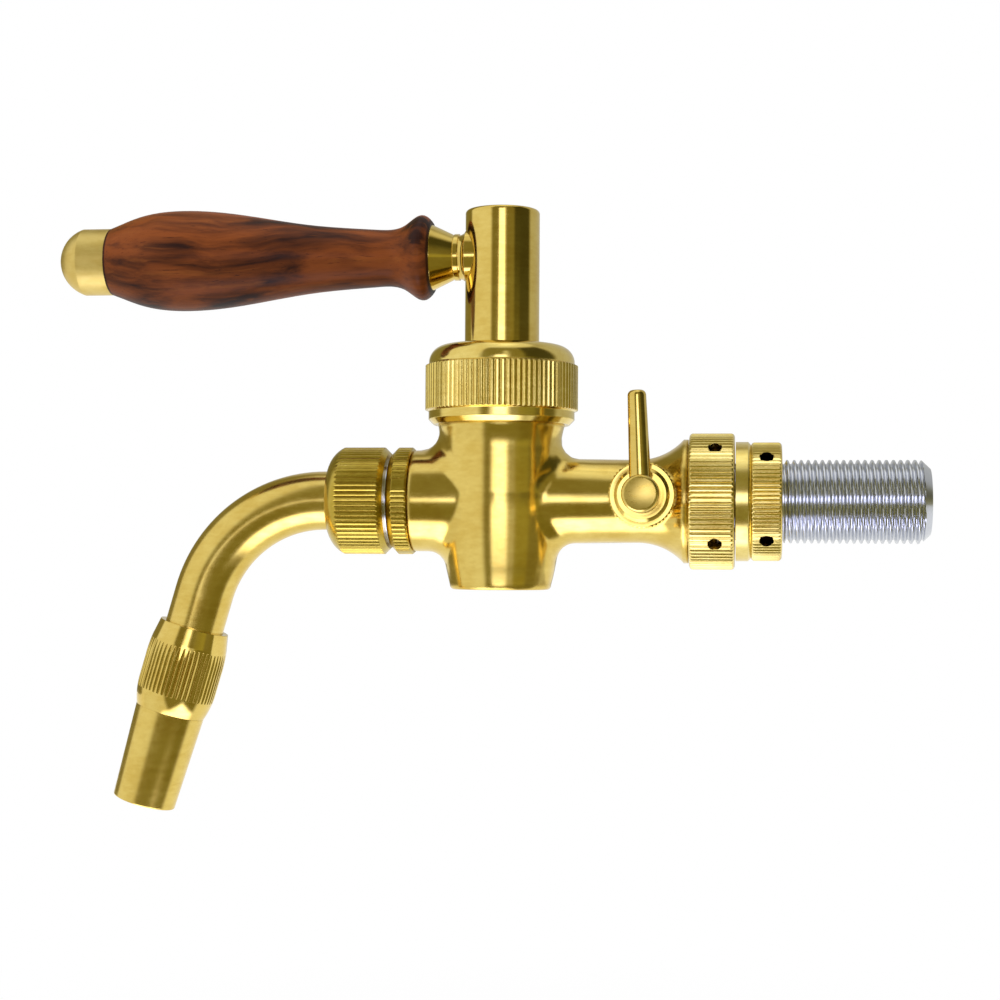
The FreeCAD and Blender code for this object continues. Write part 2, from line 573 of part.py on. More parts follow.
spin(faucet_body, kind="Groove", corners=[
    ("-branch_end - overshoot", "0"),
    ("-branch_end - overshoot", "carrier_thread_radius + thread_play"),
    ("-valve_setback - carrier_step", "carrier_thread_radius + thread_play"),
    ("-valve_setback - carrier_step", "chamber_radius"),
    ("-valve_setback + seat_face", "chamber_radius"),
    ("-valve_setback + seat_face", "seat_radius + fit_play"),
    ("-valve_setback + seat_back", "seat_radius + fit_play"),
    ("-valve_setback + seat_back", "branch_bore"),
    ("-body_end + overshoot", "branch_bore"),
    ("-body_end + overshoot", "0"),
])
spin(faucet_body, kind="Groove", pivot="-valve_setback", corners=[
    ("-valve_setback", "chamber_radius / 2"),
    ("-valve_setback + stem_bore", "chamber_radius / 2"),
    ("-valve_setback + stem_bore", "cavity_floor"),
    ("-valve_setback + cavity_radius", "cavity_floor"),
    ("-valve_setback + cavity_radius", "neck_top + overshoot"),
    ("-valve_setback", "neck_top + overshoot"),
])
spin(faucet_body, kind="Groove", role="XY_Plane", lift="lever_height", pivot="-lever_setback", corners=[
    ("-lever_setback", "-lip_radius - overshoot"),
    ("-lever_setback + gland_nut_radius + nut_gap", "-lip_radius - overshoot"),
    ("-lever_setback + gland_nut_radius + nut_gap", "-boss_face"),
    ("-lever_setback + gland_bore + thread_play", "-boss_face"),
    ("-lever_setback + gland_bore + thread_play", "-gland_floor"),
    ("-lever_setback + shaft_foot_radius + running_play", "-gland_floor"),
    ("-lever_setback + shaft_foot_radius + running_play", "-branch_bore / 2"),
    ("-lever_setback", "-branch_bore / 2"),
])
pieces.append(faucet_body)

# Ball and seats: a stainless ball with its flow hole, turned by a tongue in the slot on its top

ball = primitive("Part::Sphere", "ball_blank", {"Radius": "ball_radius"}, x="-valve_setback")
flow_hole = primitive(
    "Part::Cylinder", "ball_flow_hole", {"Radius": "ball_bore", "Height": "2 * ball_radius"},
    x="-valve_setback - ball_radius", turn=("Y", 90))
drive_slot = primitive(
    "Part::Box", "ball_slot", {"Length": "2 * ball_radius", "Width": "slot_width", "Height": "ball_radius"},
    x="-valve_setback - ball_radius", y="-slot_width / 2", z="ball_radius - slot_depth")
ball_cuts = document.addObject("Part::Fuse", "ball_cuts")
ball_cuts.Base = flow_hole
ball_cuts.Tool = drive_slot
valve_ball = document.addObject("Part::Cut", "valve_ball")
valve_ball.Base = ball
valve_ball.Tool = ball_cuts
valve_ball.Label = "valve_ball"
pieces.append(valve_ball)

pieces.append(turned("ball_seat_inlet", [
    ("-valve_setback + seat_inner_edge", "seat_bore", "seat_sphere"),
    ("-valve_setback + seat_back", "seat_bore"),
    ("-valve_setback + seat_back", "seat_radius"),
    ("-valve_setback + seat_face", "seat_radius"),
    ("-valve_setback + seat_face", "seat_outer_edge"),
]))
pieces.append(turned("ball_seat_outlet", [
    ("-valve_setback - seat_face", "seat_outer_edge", "seat_sphere"),
    ("-valve_setback - seat_face", "seat_radius"),
    ("-valve_setback - seat_back", "seat_radius"),
    ("-valve_setback - seat_back", "seat_bore"),
    ("-valve_setback - seat_inner_edge", "seat_bore"),
]))

# Bonnet: the bushing guides and seals the spindle, and the knurled nut holds it on the neck

bushing = upright("bonnet_bushing", [
    ("stem_bore", "cavity_floor"),
    ("cavity_radius - fit_play", "cavity_floor"),
    ("cavity_radius - fit_play", "bushing_flange"),
    ("bushing_flange_radius", "bushing_flange"),
    ("bushing_flange_radius", "bonnet_ceiling"),
    ("spindle_foot_radius + running_play", "bonnet_ceiling"),
    ("spindle_foot_radius + running_play", "bushing_floor"),
    ("stem_bore", "bushing_floor"),
])
for height in ("stem_ring_low", "stem_ring_high"):
    spin(bushing, axis="V_Axis", kind="Groove", corners=[
        ("stem_radius", f"{height} - ring_groove_width / 2"),
        ("stem_ring_orbit + ring_section", f"{height} - ring_groove_width / 2"),
        ("stem_ring_orbit + ring_section", f"{height} + ring_groove_width / 2"),
        ("stem_radius", f"{height} + ring_groove_width / 2"),
    ])
spin(bushing, axis="V_Axis", kind="Groove", angle="handle_travel", corners=[
    ("-stop_pin_orbit - stop_pin_room", "bushing_floor - stop_pin_height - end_play"),
    ("-stop_pin_orbit + stop_pin_room", "bushing_floor - stop_pin_height - end_play"),
    ("-stop_pin_orbit + stop_pin_room", "bushing_floor + overshoot"),
    ("-stop_pin_orbit - stop_pin_room", "bushing_floor + overshoot"),
])
for angle in ("0", "handle_travel"):
    stop_end = sketch_on(bushing, "XY_Plane", "bushing_floor + overshoot")
    draw_circle(
        stop_end, f"-stop_pin_orbit * cos({angle})", f"stop_pin_orbit * sin({angle})", "stop_pin_room")
    press(bushing, stop_end, "stop_pin_height + end_play + overshoot")
pieces.append(bushing)

pieces.append(upright("bonnet_gasket", [
    ("cavity_radius + fit_play", "neck_top"),
    ("bushing_flange_radius", "neck_top"),
    ("bushing_flange_radius", "bushing_flange"),
    ("cavity_radius + fit_play", "bushing_flange"),
]))
for label, height in (("stem_o_ring_lower", "stem_ring_low"), ("stem_o_ring_upper", "stem_ring_high")):
    pieces.append(primitive(
        "Part::Torus", label, {"Radius1": "stem_ring_orbit", "Radius2": "ring_section"},
        x="-valve_setback", z=height))
pieces.append(upright("thrust_washer", [
    ("spindle_radius + bonnet_hole_play", "foot_top"),
    ("spindle_foot_radius", "foot_top"),
    ("spindle_foot_radius", "bonnet_ceiling"),
    ("spindle_radius + bonnet_hole_play", "bonnet_ceiling"),
]))

bonnet_nut = upright("bonnet_nut", [
    ("neck_radius + thread_play", "barrel_shoulder + fit_play"),
    ("bonnet_waist_radius - bonnet_lead", "barrel_shoulder + fit_play"),
    ("bonnet_waist_radius", "barrel_shoulder + fit_play + bonnet_lead"),
    ("bonnet_waist_radius", "bonnet_knurl_bottom - bonnet_step"),
    ("bonnet_nut_radius", "bonnet_knurl_bottom"),
    ("bonnet_nut_radius", "bonnet_knurl_top"),
    ("bonnet_waist_radius", "bonnet_knurl_top + bonnet_step"),
    ("bonnet_waist_radius", "bonnet_top - bonnet_dome"),
    ("bonnet_waist_radius - bonnet_dome", "bonnet_top", "-bonnet_dome"),
    ("spindle_radius + bonnet_hole_play", "bonnet_top"),
    ("spindle_radius + bonnet_hole_play", "bonnet_ceiling"),
    ("neck_radius + thread_play", "bonnet_ceiling"),
])
knurl(bonnet_nut, "bonnet_nut_radius", "bonnet_nut_teeth", "barrel_shoulder", "bonnet_top - barrel_shoulder",
      role="XY_Plane", axis="Z_Axis")
pieces.append(bonnet_nut)

# Spindle: the brass post, its foot and stem in the bonnet, and the tongue in the ball's slot

spindle = upright("spindle", [
    ("0", "stem_bottom"),
    ("stem_radius", "stem_bottom"),
    ("stem_radius", "bushing_floor"),
    ("spindle_foot_radius", "bushing_floor"),
    ("spindle_foot_radius", "foot_top"),
    ("spindle_radius", "foot_top"),
    ("spindle_radius", "spindle_top - spindle_edge"),
    ("spindle_radius - spindle_edge", "spindle_top", "-spindle_edge"),
    ("0", "spindle_top"),
])
tongue = sketch_on(spindle, "XY_Plane", "ball_radius - slot_depth + tang_play")
draw_wire(tongue, [
    ("-tang_length / 2", "tang_play - slot_width / 2"),
    ("tang_length / 2", "tang_play - slot_width / 2"),
    ("tang_length / 2", "slot_width / 2 - tang_play"),
    ("-tang_length / 2", "slot_width / 2 - tang_play"),
])
press(spindle, tongue, "slot_depth + overshoot", kind="Pad")
ferrule_seat = sketch_on(spindle, "YZ_Plane", "-ferrule_seat_reach")
draw_circle(ferrule_seat, "0", "handle_height", "ferrule_seat_radius + fit_play")
press(spindle, ferrule_seat, "spindle_radius")
rod_hole = sketch_on(spindle, "YZ_Plane", "ferrule_seat_reach")
draw_circle(rod_hole, "0", "handle_height", "rod_radius + fit_play")
press(spindle, rod_hole, "2 * spindle_radius")
pin_hole = sketch_on(spindle, "XY_Plane", "bushing_floor")
draw_circle(pin_hole, "-stop_pin_orbit", "0", "stop_pin_radius + fit_play")
press(spindle, pin_hole, "stop_pin_height", reverse=True)
pieces.append(spindle)
pieces.append(primitive(
    "Part::Cylinder", "stop_pin", {"Radius": "stop_pin_radius", "Height": "2 * stop_pin_height"},
    x="-valve_setback - stop_pin_orbit", z="bushing_floor - stop_pin_height"))

# Handle: a brass ferrule and knob clamp the turned wood between them on a rod

ferrule = turned("handle_ferrule", z="handle_height", corners=[
    ("-wood_right - tenon_length", "rod_radius + fit_play"),
    ("-wood_right - tenon_length", "tenon_radius"),
    ("-wood_right", "tenon_radius"),
    ("-wood_right", "ferrule_cone_radius"),
    ("-valve_setback - ferrule_neck_reach - ferrule_ring_width", "ferrule_neck_radius"),
    ("-valve_setback - ferrule_neck_reach - ferrule_ring_width", "ferrule_ring_radius"),
    ("-valve_setback - ferrule_neck_reach", "ferrule_ring_radius"),
    ("-valve_setback - ferrule_neck_reach", "ferrule_neck_radius"),
    ("-valve_setback - ferrule_neck_reach + ferrule_flare_length", "ferrule_seat_radius", "-ferrule_flare"),
    ("-valve_setback - ferrule_seat_reach", "ferrule_seat_radius"),
    ("-valve_setback - ferrule_seat_reach", "rod_radius + fit_play"),
])
pieces.append(ferrule)

# The wood's outline is one smooth curve, so it is drawn here from the sheet's stations.
stations = [
    ("wood_right", "grip_mouth_radius"),
    ("wood_right + grip_bead_place", "grip_bead_radius"),
    ("wood_right + grip_cove_place", "grip_cove_radius"),
    ("wood_right + grip_waist_place", "grip_waist_radius"),
    ("wood_right + grip_slope_place", "grip_slope_radius"),
    ("wood_right + grip_swell_place", "grip_swell_radius"),
    ("wood_right + grip_belly_place", "grip_belly_radius"),
    ("wood_left - grip_back_place", "grip_back_radius"),
    ("wood_left - grip_heel_place", "grip_heel_radius"),
    ("wood_left", "knob_radius"),
]
outline = Part.BSplineCurve()
outline.interpolate([FreeCAD.Vector(-number(place), 0, number(radius)) for place, radius in stations])
bore = number("rod_radius + fit_play")
socket = number("tenon_radius + fit_play")
socket_end = number("wood_right + tenon_length + fit_play")
inside = [
    FreeCAD.Vector(-number("wood_left"), 0, number("knob_radius")),
    FreeCAD.Vector(-number("wood_left"), 0, bore),
    FreeCAD.Vector(-socket_end, 0, bore),
    FreeCAD.Vector(-socket_end, 0, socket),
    FreeCAD.Vector(-number("wood_right"), 0, socket),
    FreeCAD.Vector(-number("wood_right"), 0, number("grip_mouth_radius")),
]
wire = Part.Wire([outline.toShape()] + Part.makePolygon(inside).Edges)
grip = document.addObject("Part::Feature", "handle_grip")
grip.Label = "handle_grip"
grip.Shape = Part.Face(wire).revolve(FreeCAD.Vector(), FreeCAD.Vector(1, 0, 0), 360)
grip.Placement = FreeCAD.Placement(FreeCAD.Vector(0, 0, number("handle_height")), FreeCAD.Rotation())
pieces.append(grip)

pieces.append(turned("handle_knob", z="handle_height", corners=[
    ("-knob_end", "0"),
    ("-knob_end + knob_dome", "knob_radius", "knob_dome_curve"),
    ("-wood_left", "knob_radius"),
    ("-wood_left", "rod_radius + fit_play"),
    ("-rod_left", "rod_radius + fit_play"),
    ("-rod_left", "0"),
]))
pieces.append(primitive(
    "Part::Cylinder", "handle_tie_rod",
    {"Radius": "rod_radius", "Height": "rod_left - valve_setback + ferrule_seat_reach - overshoot"},
    x="-rod_left", z="handle_height", turn=("Y", 90)))

# Spout side: a stainless sleeve screwed into the body presses the seat on the ball

carrier = turned("seat_carrier", [
    ("-carrier_end", "carrier_bore"),
    ("-carrier_end", "carrier_thread_radius"),
    ("-valve_setback - carrier_step - 2 * ring_groove_width", "carrier_thread_radius"),
    ("-valve_setback - carrier_step - 2 * ring_groove_width", "carrier_thread_radius - 2 * ring_section"),
    ("-valve_setback - carrier_step - ring_groove_width", "carrier_thread_radius - 2 * ring_section"),
    ("-valve_setback - carrier_step - ring_groove_width", "carrier_thread_radius"),
    ("-valve_setback - carrier_step - fit_play", "carrier_thread_radius"),
    ("-valve_setback - carrier_step - fit_play", "chamber_radius - fit_play"),
    ("-valve_setback - seat_face", "chamber_radius - fit_play"),
    ("-valve_setback - seat_face", "seat_radius + fit_play"),
    ("-valve_setback - seat_back", "seat_radius + fit_play"),
    ("-valve_setback - seat_back", "carrier_bore"),
])
pieces.append(carrier)
pieces.append(primitive(
    "Part::Torus", "seat_carrier_o_ring",
    {"Radius1": "carrier_thread_radius - ring_section", "Radius2": "ring_section"},
    x="-valve_setback - carrier_step - 1.5 * ring_groove_width", turn=("Y", 90)))

lock_ring_outline = [
    ("-lock_ring_end", "carrier_thread_radius + thread_play"),
    ("-lock_ring_end", "lock_ring_radius - lock_ring_slope"),
    ("-lock_ring_end + lock_ring_slope", "lock_ring_radius"),
    ("-branch_end - lock_ring_edge", "lock_ring_radius"),
    ("-branch_end", "lock_ring_radius - lock_ring_edge"),
    ("-branch_end", "carrier_thread_radius + thread_play"),
]
lock_ring = turned("seat_lock_ring", lock_ring_outline, turn=("X", "-lock_ring_turn"))
knurl(lock_ring, "lock_ring_radius", "lock_ring_teeth", "-lock_ring_end - overshoot",
      "lock_ring_length + 2 * overshoot")
land = spin(lock_ring, lock_ring_outline, angle="lock_ring_land", both=True)
repeat(lock_ring, land, "lock_ring_lands", "X_Axis")
pieces.append(lock_ring)

spout_nut = turned("spout_nut", [
    ("-spout_nut_left", "spout_radius + thread_play + fit_play"),
    ("-spout_nut_left", "spout_nut_face_radius"),
    ("-spout_nut_left + spout_nut_round", "spout_nut_radius", "spout_nut_dome"),
    ("-spout_nut_right - spout_nut_edge", "spout_nut_radius"),
    ("-spout_nut_right", "spout_nut_radius - spout_nut_edge"),
    ("-spout_nut_right", "carrier_thread_radius + thread_play"),
    ("-spout_flange_left", "carrier_thread_radius + thread_play"),
    ("-spout_flange_left", "spout_radius + thread_play + fit_play"),
])
knurl(spout_nut, "spout_nut_radius", "spout_nut_teeth", "-spout_nut_left - overshoot",
      "spout_nut_length + 2 * overshoot")
pieces.append(spout_nut)

pieces.append(turned("spout_gasket", [
    ("-spout_flange_right", "spout_bore"),
    ("-spout_flange_right", "spout_flange_radius"),
    ("-carrier_end", "spout_flange_radius"),
    ("-carrier_end", "spout_bore"),
]))

# Spout: a flanged brass tube with one bend

spout = new_body("spout_tube", x="-spout_flange_right")
path = sketch_on(spout, "XZ_Plane")
run = "spout_drop + spout_socket"
draw_wire(path, closed=False, corners=[
    ("0", "0"),
    ("-spout_straight", "0"),
    ("spout_flange_right - bend_end", "-bend_drop", "-bend_radius"),
    (f"spout_flange_right - bend_end - ({run}) * cos(bend_angle)",
     f"-bend_drop - ({run}) * sin(bend_angle)"),
])
tube_section = sketch_on(spout, "YZ_Plane")
draw_circle(tube_section, "0", "0", "spout_radius")
draw_circle(tube_section, "0", "0", "spout_bore")
tube = spout.newObject("PartDesign::AdditivePipe", "spout_tube_pipe")
tube.Profile = tube_section
tube.Spine = (path, ["Edge1", "Edge2", "Edge3"])
document.recompute()
flange_section = sketch_on(spout, "YZ_Plane")
draw_circle(flange_section, "0", "0", "spout_flange_radius")
draw_circle(flange_section, "0", "0", "spout_bore")
press(spout, flange_section, "spout_flange_thickness", kind="Pad", reverse=True)
pieces.append(spout)

# Nozzle: a knurled collar holds two screens and the tapered tip on the spout's end

nozzle = {"x": "-nozzle_x", "z": "-nozzle_z", "turn": ("Y", "180 - bend_angle")}
nozzle_collar = turned("nozzle_collar", **nozzle, corners=[
    ("0", "spout_radius + thread_play"),
    ("0", "nozzle_collar_end_radius"),
    ("nozzle_shoulder", "nozzle_shoulder_radius"),
    ("nozzle_swell", "nozzle_collar_radius", "nozzle_swell_curve"),
    ("nozzle_collar_length - nozzle_taper", "nozzle_collar_radius"),
    ("nozzle_collar_length", "nozzle_collar_end_radius", "nozzle_taper_curve"),
    ("nozzle_collar_length", "nozzle_cavity"),
    ("spout_socket", "nozzle_cavity"),
    ("spout_socket", "spout_radius + thread_play"),
])
knurl(nozzle_collar, "nozzle_collar_radius", "nozzle_teeth", "nozzle_knurl_start", "nozzle_knurl_length")
pieces.append(nozzle_collar)
pieces.append(turned("nozzle_tip", **nozzle, corners=[
    ("tip_start", "nozzle_bore"),
    ("tip_start", "nozzle_cavity - thread_play"),
    ("nozzle_collar_length", "nozzle_cavity - thread_play"),
    ("nozzle_collar_length", "nozzle_collar_end_radius"),
    ("nozzle_collar_length + nozzle_tip_length - nozzle_edge", "nozzle_end_radius"),
    ("nozzle_collar_length + nozzle_tip_length", "nozzle_end_radius - nozzle_edge", "nozzle_edge"),
    ("nozzle_collar_length + nozzle_tip_length", "nozzle_bore"),
]))
screens = (
    ("nozzle_screen_upper", "spout_socket"),
    ("nozzle_screen_lower", "spout_socket + screen_thickness + screen_gap"),
)
for label, place in screens:
    screen = turned(label, **nozzle, corners=[
        (place, "0"),
        (place, "nozzle_cavity - fit_play"),
        (f"{place} + screen_thickness", "nozzle_cavity - fit_play"),
        (f"{place} + screen_thickness", "0"),
    ])
    hole = sketch_on(screen, "YZ_Plane", f"{place} + screen_thickness")
    draw_circle(hole, "0", "screen_orbit", "screen_hole")
    repeat(screen, press(screen, hole, "screen_thickness"), "screen_holes", "X_Axis")
    middle_hole = sketch_on(screen, "YZ_Plane", f"{place} + screen_thickness")
    draw_circle(middle_hole, "0", "0", "screen_hole")
    press(screen, middle_hole, "screen_thickness")
    pieces.append(screen)
pieces.append(turned("screen_spacer", **nozzle, corners=[
    ("spout_socket + screen_thickness", "nozzle_bore"),
    ("spout_socket + screen_thickness", "nozzle_cavity - fit_play"),
    ("spout_socket + screen_thickness + screen_gap", "nozzle_cavity - fit_play"),
    ("spout_socket + screen_thickness + screen_gap", "nozzle_bore"),
]))
pieces.append(turned("nozzle_seal", **nozzle, corners=[
    ("tip_start - nozzle_seal_thickness", "nozzle_bore"),
    ("tip_start - nozzle_seal_thickness", "nozzle_cavity - fit_play"),
    ("tip_start", "nozzle_cavity - fit_play"),
    ("tip_start", "nozzle_bore"),
]))

# Tower side: the coupling nut pulls the shank's flange on the body, the lock nut bears on the tower

pieces.append(turned("shank", [
    ("-flange_front", "mouth_radius"),
    ("-flange_front", "flange_radius"),
    ("-flange_back", "flange_radius"),
    ("-flange_back", "thread_pitch_radius"),
    ("thread_start", "thread_pitch_radius"),
    ("thread_start", "shank_radius"),
    ("shank_reach - shank_tip_length", "shank_radius"),
    ("shank_reach", "shank_tip_radius"),
    ("shank_reach", "inlet_radius"),
    ("-flange_front + mouth_length", "inlet_radius"),
]))
pieces.append(turned("coupling_gasket", [
    ("-body_end", "mouth_radius"),
    ("-body_end", "flange_radius"),
    ("-flange_front", "flange_radius"),
    ("-flange_front", "mouth_radius"),
]))
pieces.append(turned("shank_collar", [
    ("-collar_left", "thread_pitch_radius + thread_play"),
    ("-collar_left", "collar_radius"),
    ("-lock_nut_length - collar_bevel", "collar_radius"),
    ("-lock_nut_length", "collar_radius - collar_bevel"),
    ("-lock_nut_length", "thread_pitch_radius + thread_play"),
]))

coupling_nut = turned("coupling_nut", turn=("X", "45 - coupling_nut_turn"), corners=[
    ("-coupling_left", "body_thread_radius + thread_play"),
    ("-coupling_left", "coupling_nut_radius - nut_bevel"),
    ("-coupling_left + nut_bevel", "coupling_nut_radius", "nut_bevel"),
    ("-coupling_right - nut_bevel", "coupling_nut_radius"),
    ("-coupling_right", "coupling_nut_radius - nut_bevel", "nut_bevel"),
    ("-coupling_right", "shank_radius + nut_gap"),
    ("-flange_back", "shank_radius + nut_gap"),
    ("-flange_back", "body_thread_radius + thread_play"),
])
spanner_holes(coupling_nut, "coupling_nut_radius", "-coupling_left + coupling_hole_offset")
knurl(coupling_nut, "coupling_nut_radius", "coupling_nut_teeth", "-coupling_left - overshoot",
      "coupling_nut_length + 2 * overshoot")
pieces.append(coupling_nut)

lock_nut = turned("lock_nut", turn=("X", "45 - lock_nut_turn"), corners=[
    ("-lock_nut_length", "thread_pitch_radius + thread_play"),
    ("-lock_nut_length", "lock_nut_radius - nut_bevel"),
    ("-lock_nut_length + nut_bevel", "lock_nut_radius", "nut_bevel"),
    ("-nut_bevel", "lock_nut_radius"),
    ("0", "lock_nut_radius - nut_bevel", "nut_bevel"),
    ("0", "thread_pitch_radius + nut_countersink"),
    ("-nut_countersink", "thread_pitch_radius + thread_play"),
])
spanner_holes(lock_nut, "lock_nut_radius", "-lock_nut_length / 2")
knurl(lock_nut, "lock_nut_radius", "lock_nut_teeth", "-lock_nut_length - overshoot",
      "lock_nut_length + 2 * overshoot")
pieces.append(lock_nut)

# Compensator: the lever's crank pin slides a cone in the shank's mouth, which sets the flow

piston = turned("compensator_piston", x="-lever_setback", corners=[
    ("-groove_half - piston_ring_left", "0"),
    ("-groove_half - piston_ring_left", "piston_radius"),
    ("-groove_half", "piston_radius"),
    ("-groove_half", "piston_core"),
    ("groove_half", "piston_core"),
    ("groove_half", "piston_radius"),
    ("groove_half + piston_ring_right", "piston_radius"),
    ("groove_half + piston_ring_right", "piston_neck"),
    ("lever_setback - flange_front", "piston_neck"),
    ("lever_setback - flange_front", "mouth_radius - piston_gap"),
    ("cone_end", "cone_tip_radius"),
    ("cone_end + piston_nose", "cone_tip_radius - piston_nose", "piston_nose"),
    ("cone_end + piston_nose", "0"),
])
slot = sketch_on(piston, "YZ_Plane", "-groove_half - piston_ring_left")
draw_wire(slot, [
    ("-piston_slot_width / 2", "piston_slot_floor"),
    ("piston_slot_width / 2", "piston_slot_floor"),
    ("piston_slot_width / 2", "piston_radius + overshoot"),
    ("-piston_slot_width / 2", "piston_radius + overshoot"),
])
slot_cut = press(piston, slot, "2 * groove_half + piston_ring_left + piston_ring_right", reverse=True)
repeat(piston, slot_cut, "piston_slots", "X_Axis")
pieces.append(piston)

gland_nut = new_body("compensator_gland_nut", x="-lever_setback", z="lever_height")
spin(gland_nut, role="YZ_Plane", corners=[
    ("-gland_front - gland_ring_height", "shaft_radius + running_play"),
    ("-gland_front - gland_ring_height", "gland_ring_radius - gland_ring_height"),
    ("-gland_front", "gland_ring_radius"),
    ("-gland_front", "gland_nut_radius - gland_edge"),
    ("-gland_front + gland_edge", "gland_nut_radius"),
    ("-boss_face", "gland_nut_radius"),
    ("-boss_face", "gland_bore"),
    ("-gland_end", "gland_bore"),
    ("-gland_end", "gland_ring_seat"),
    ("-gland_end - ring_groove_width", "gland_ring_seat"),
    ("-gland_end - ring_groove_width", "shaft_radius + running_play"),
])
knurl(gland_nut, "gland_nut_radius", "gland_nut_teeth", "boss_face - overshoot",
      "gland_nut_flange + 2 * overshoot", role="XZ_Plane", axis="Y_Axis")
pieces.append(gland_nut)
pieces.append(primitive(
    "Part::Torus", "compensator_o_ring",
    {"Radius1": "gland_ring_seat - ring_section", "Radius2": "ring_section"},
    x="-lever_setback", y="-gland_end - ring_groove_width / 2", z="lever_height", turn=("X", 90)))

leaning = ("Y", "-lever_lean")
shaft = new_body("compensator_shaft", x="-lever_setback", z="lever_height", turn=leaning)
spin(shaft, role="YZ_Plane", corners=[
    ("-hub_front", "0"),
    ("-hub_front", "hub_radius - hub_edge"),
    ("-hub_front + hub_edge", "hub_radius", "hub_edge"),
    ("-hub_back", "hub_radius"),
    ("-hub_back", "shaft_radius"),
    ("-gland_end + end_play", "shaft_radius"),
    ("-gland_end + end_play", "shaft_flange_radius"),
    ("-gland_floor - end_play", "shaft_flange_radius"),
    ("-gland_floor - end_play", "shaft_foot_radius"),
    ("-branch_bore - crank_play", "shaft_foot_radius"),
    ("-branch_bore - crank_play", "0"),
])
crank = sketch_on(shaft, "XZ_Plane", "branch_bore + crank_play")
draw_circle(crank, "eccentric * sin(lever_lean)", "eccentric * cos(lever_lean)", "crank_pin_radius")
press(shaft, crank, "crank_pin_length", kind="Pad", reverse=True)
for radius, floor in (("lever_root_radius", "lever_seat"), ("lever_spigot", "lever_spigot_end")):
    lever_hole = sketch_on(shaft, "XY_Plane", "hub_radius + overshoot")
    draw_circle(lever_hole, "0", "-hub_middle", f"{radius} + fit_play")
    press(shaft, lever_hole, f"hub_radius + overshoot - {floor}")
pieces.append(shaft)

lever = new_body("compensator_lever", x="-lever_setback", y="-hub_middle", z="lever_height", turn=leaning)
spin(lever, axis="V_Axis", corners=[
    ("0", "lever_spigot_end"),
    ("lever_spigot", "lever_spigot_end"),
    ("lever_spigot", "lever_seat"),
    ("lever_root_radius", "lever_seat"),
    ("lever_tip_radius", "lever_length - lever_tip_edge"),
    ("lever_tip_radius - lever_tip_edge", "lever_length", "-lever_tip_edge"),
    ("0", "lever_length"),
])
pieces.append(lever)

document.recompute()
for item in document.Objects:
    if "Invalid" in item.State or "Error" in item.State:
        raise RuntimeError(f"{item.Label} could not be made: {item.State}")
for piece in pieces:
    if piece.Shape.isNull() or not piece.Shape.isValid():
        raise RuntimeError(f"{piece.Label} has no sound shape")
    if len(piece.Shape.Solids) != 1:
        raise RuntimeError(f"{piece.Label} is not one solid")
os.makedirs("parts", exist_ok=True)
for piece in pieces:
    piece.Shape.exportStep(f"parts/{piece.Label}.step")
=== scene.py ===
import math

import bpy
from mathutils import Matrix, Vector


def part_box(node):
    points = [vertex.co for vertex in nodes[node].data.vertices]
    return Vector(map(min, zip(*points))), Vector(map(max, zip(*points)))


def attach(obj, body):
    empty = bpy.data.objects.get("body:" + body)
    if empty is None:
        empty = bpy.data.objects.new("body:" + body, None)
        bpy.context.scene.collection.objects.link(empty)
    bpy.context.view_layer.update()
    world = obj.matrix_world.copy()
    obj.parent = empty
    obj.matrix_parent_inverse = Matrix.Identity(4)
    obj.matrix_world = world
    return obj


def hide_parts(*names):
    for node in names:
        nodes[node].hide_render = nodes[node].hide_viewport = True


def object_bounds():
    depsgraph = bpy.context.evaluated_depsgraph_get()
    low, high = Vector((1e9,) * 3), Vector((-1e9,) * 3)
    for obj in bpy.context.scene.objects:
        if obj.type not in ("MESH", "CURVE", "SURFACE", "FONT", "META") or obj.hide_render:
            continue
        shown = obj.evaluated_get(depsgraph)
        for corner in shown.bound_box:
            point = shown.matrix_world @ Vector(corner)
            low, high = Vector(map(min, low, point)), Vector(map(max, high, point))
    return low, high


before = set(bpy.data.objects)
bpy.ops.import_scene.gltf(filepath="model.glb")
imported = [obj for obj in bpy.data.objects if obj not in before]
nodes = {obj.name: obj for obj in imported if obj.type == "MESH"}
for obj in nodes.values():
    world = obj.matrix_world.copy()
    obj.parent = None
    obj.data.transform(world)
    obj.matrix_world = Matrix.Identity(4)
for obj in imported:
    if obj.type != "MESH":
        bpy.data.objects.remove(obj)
cad_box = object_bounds()

# Faucet body: a brass casting, turned and bored, then buffed to a mirror and lacquered.
# The upright barrel, both branches and the boss for the compensator are one piece. Buffing
# rounds the edges and leaves a slight waviness, and the brass is a shade deeper in places.

BRASS = (0.80, 0.605, 0.168)
DEEP_SHARE = (0.86, 0.80, 0.62)
CLOUDS = 0.011
SMEARS = 0.0045
SPECKS = 0.0009
TOOL_LINES = 0.00016
TOOL_STRETCH = 0.015
TOOL_DEPTH = 0.00002
EDGE = 0.00022
CAST_EDGE = 0.0016
BARREL_X = -0.0814
FOOT_TOP = -0.0035
FOOT_FLAT = 0.0130
FOOT_SIDE = 0.0160
FOOT_TILT = 10.5


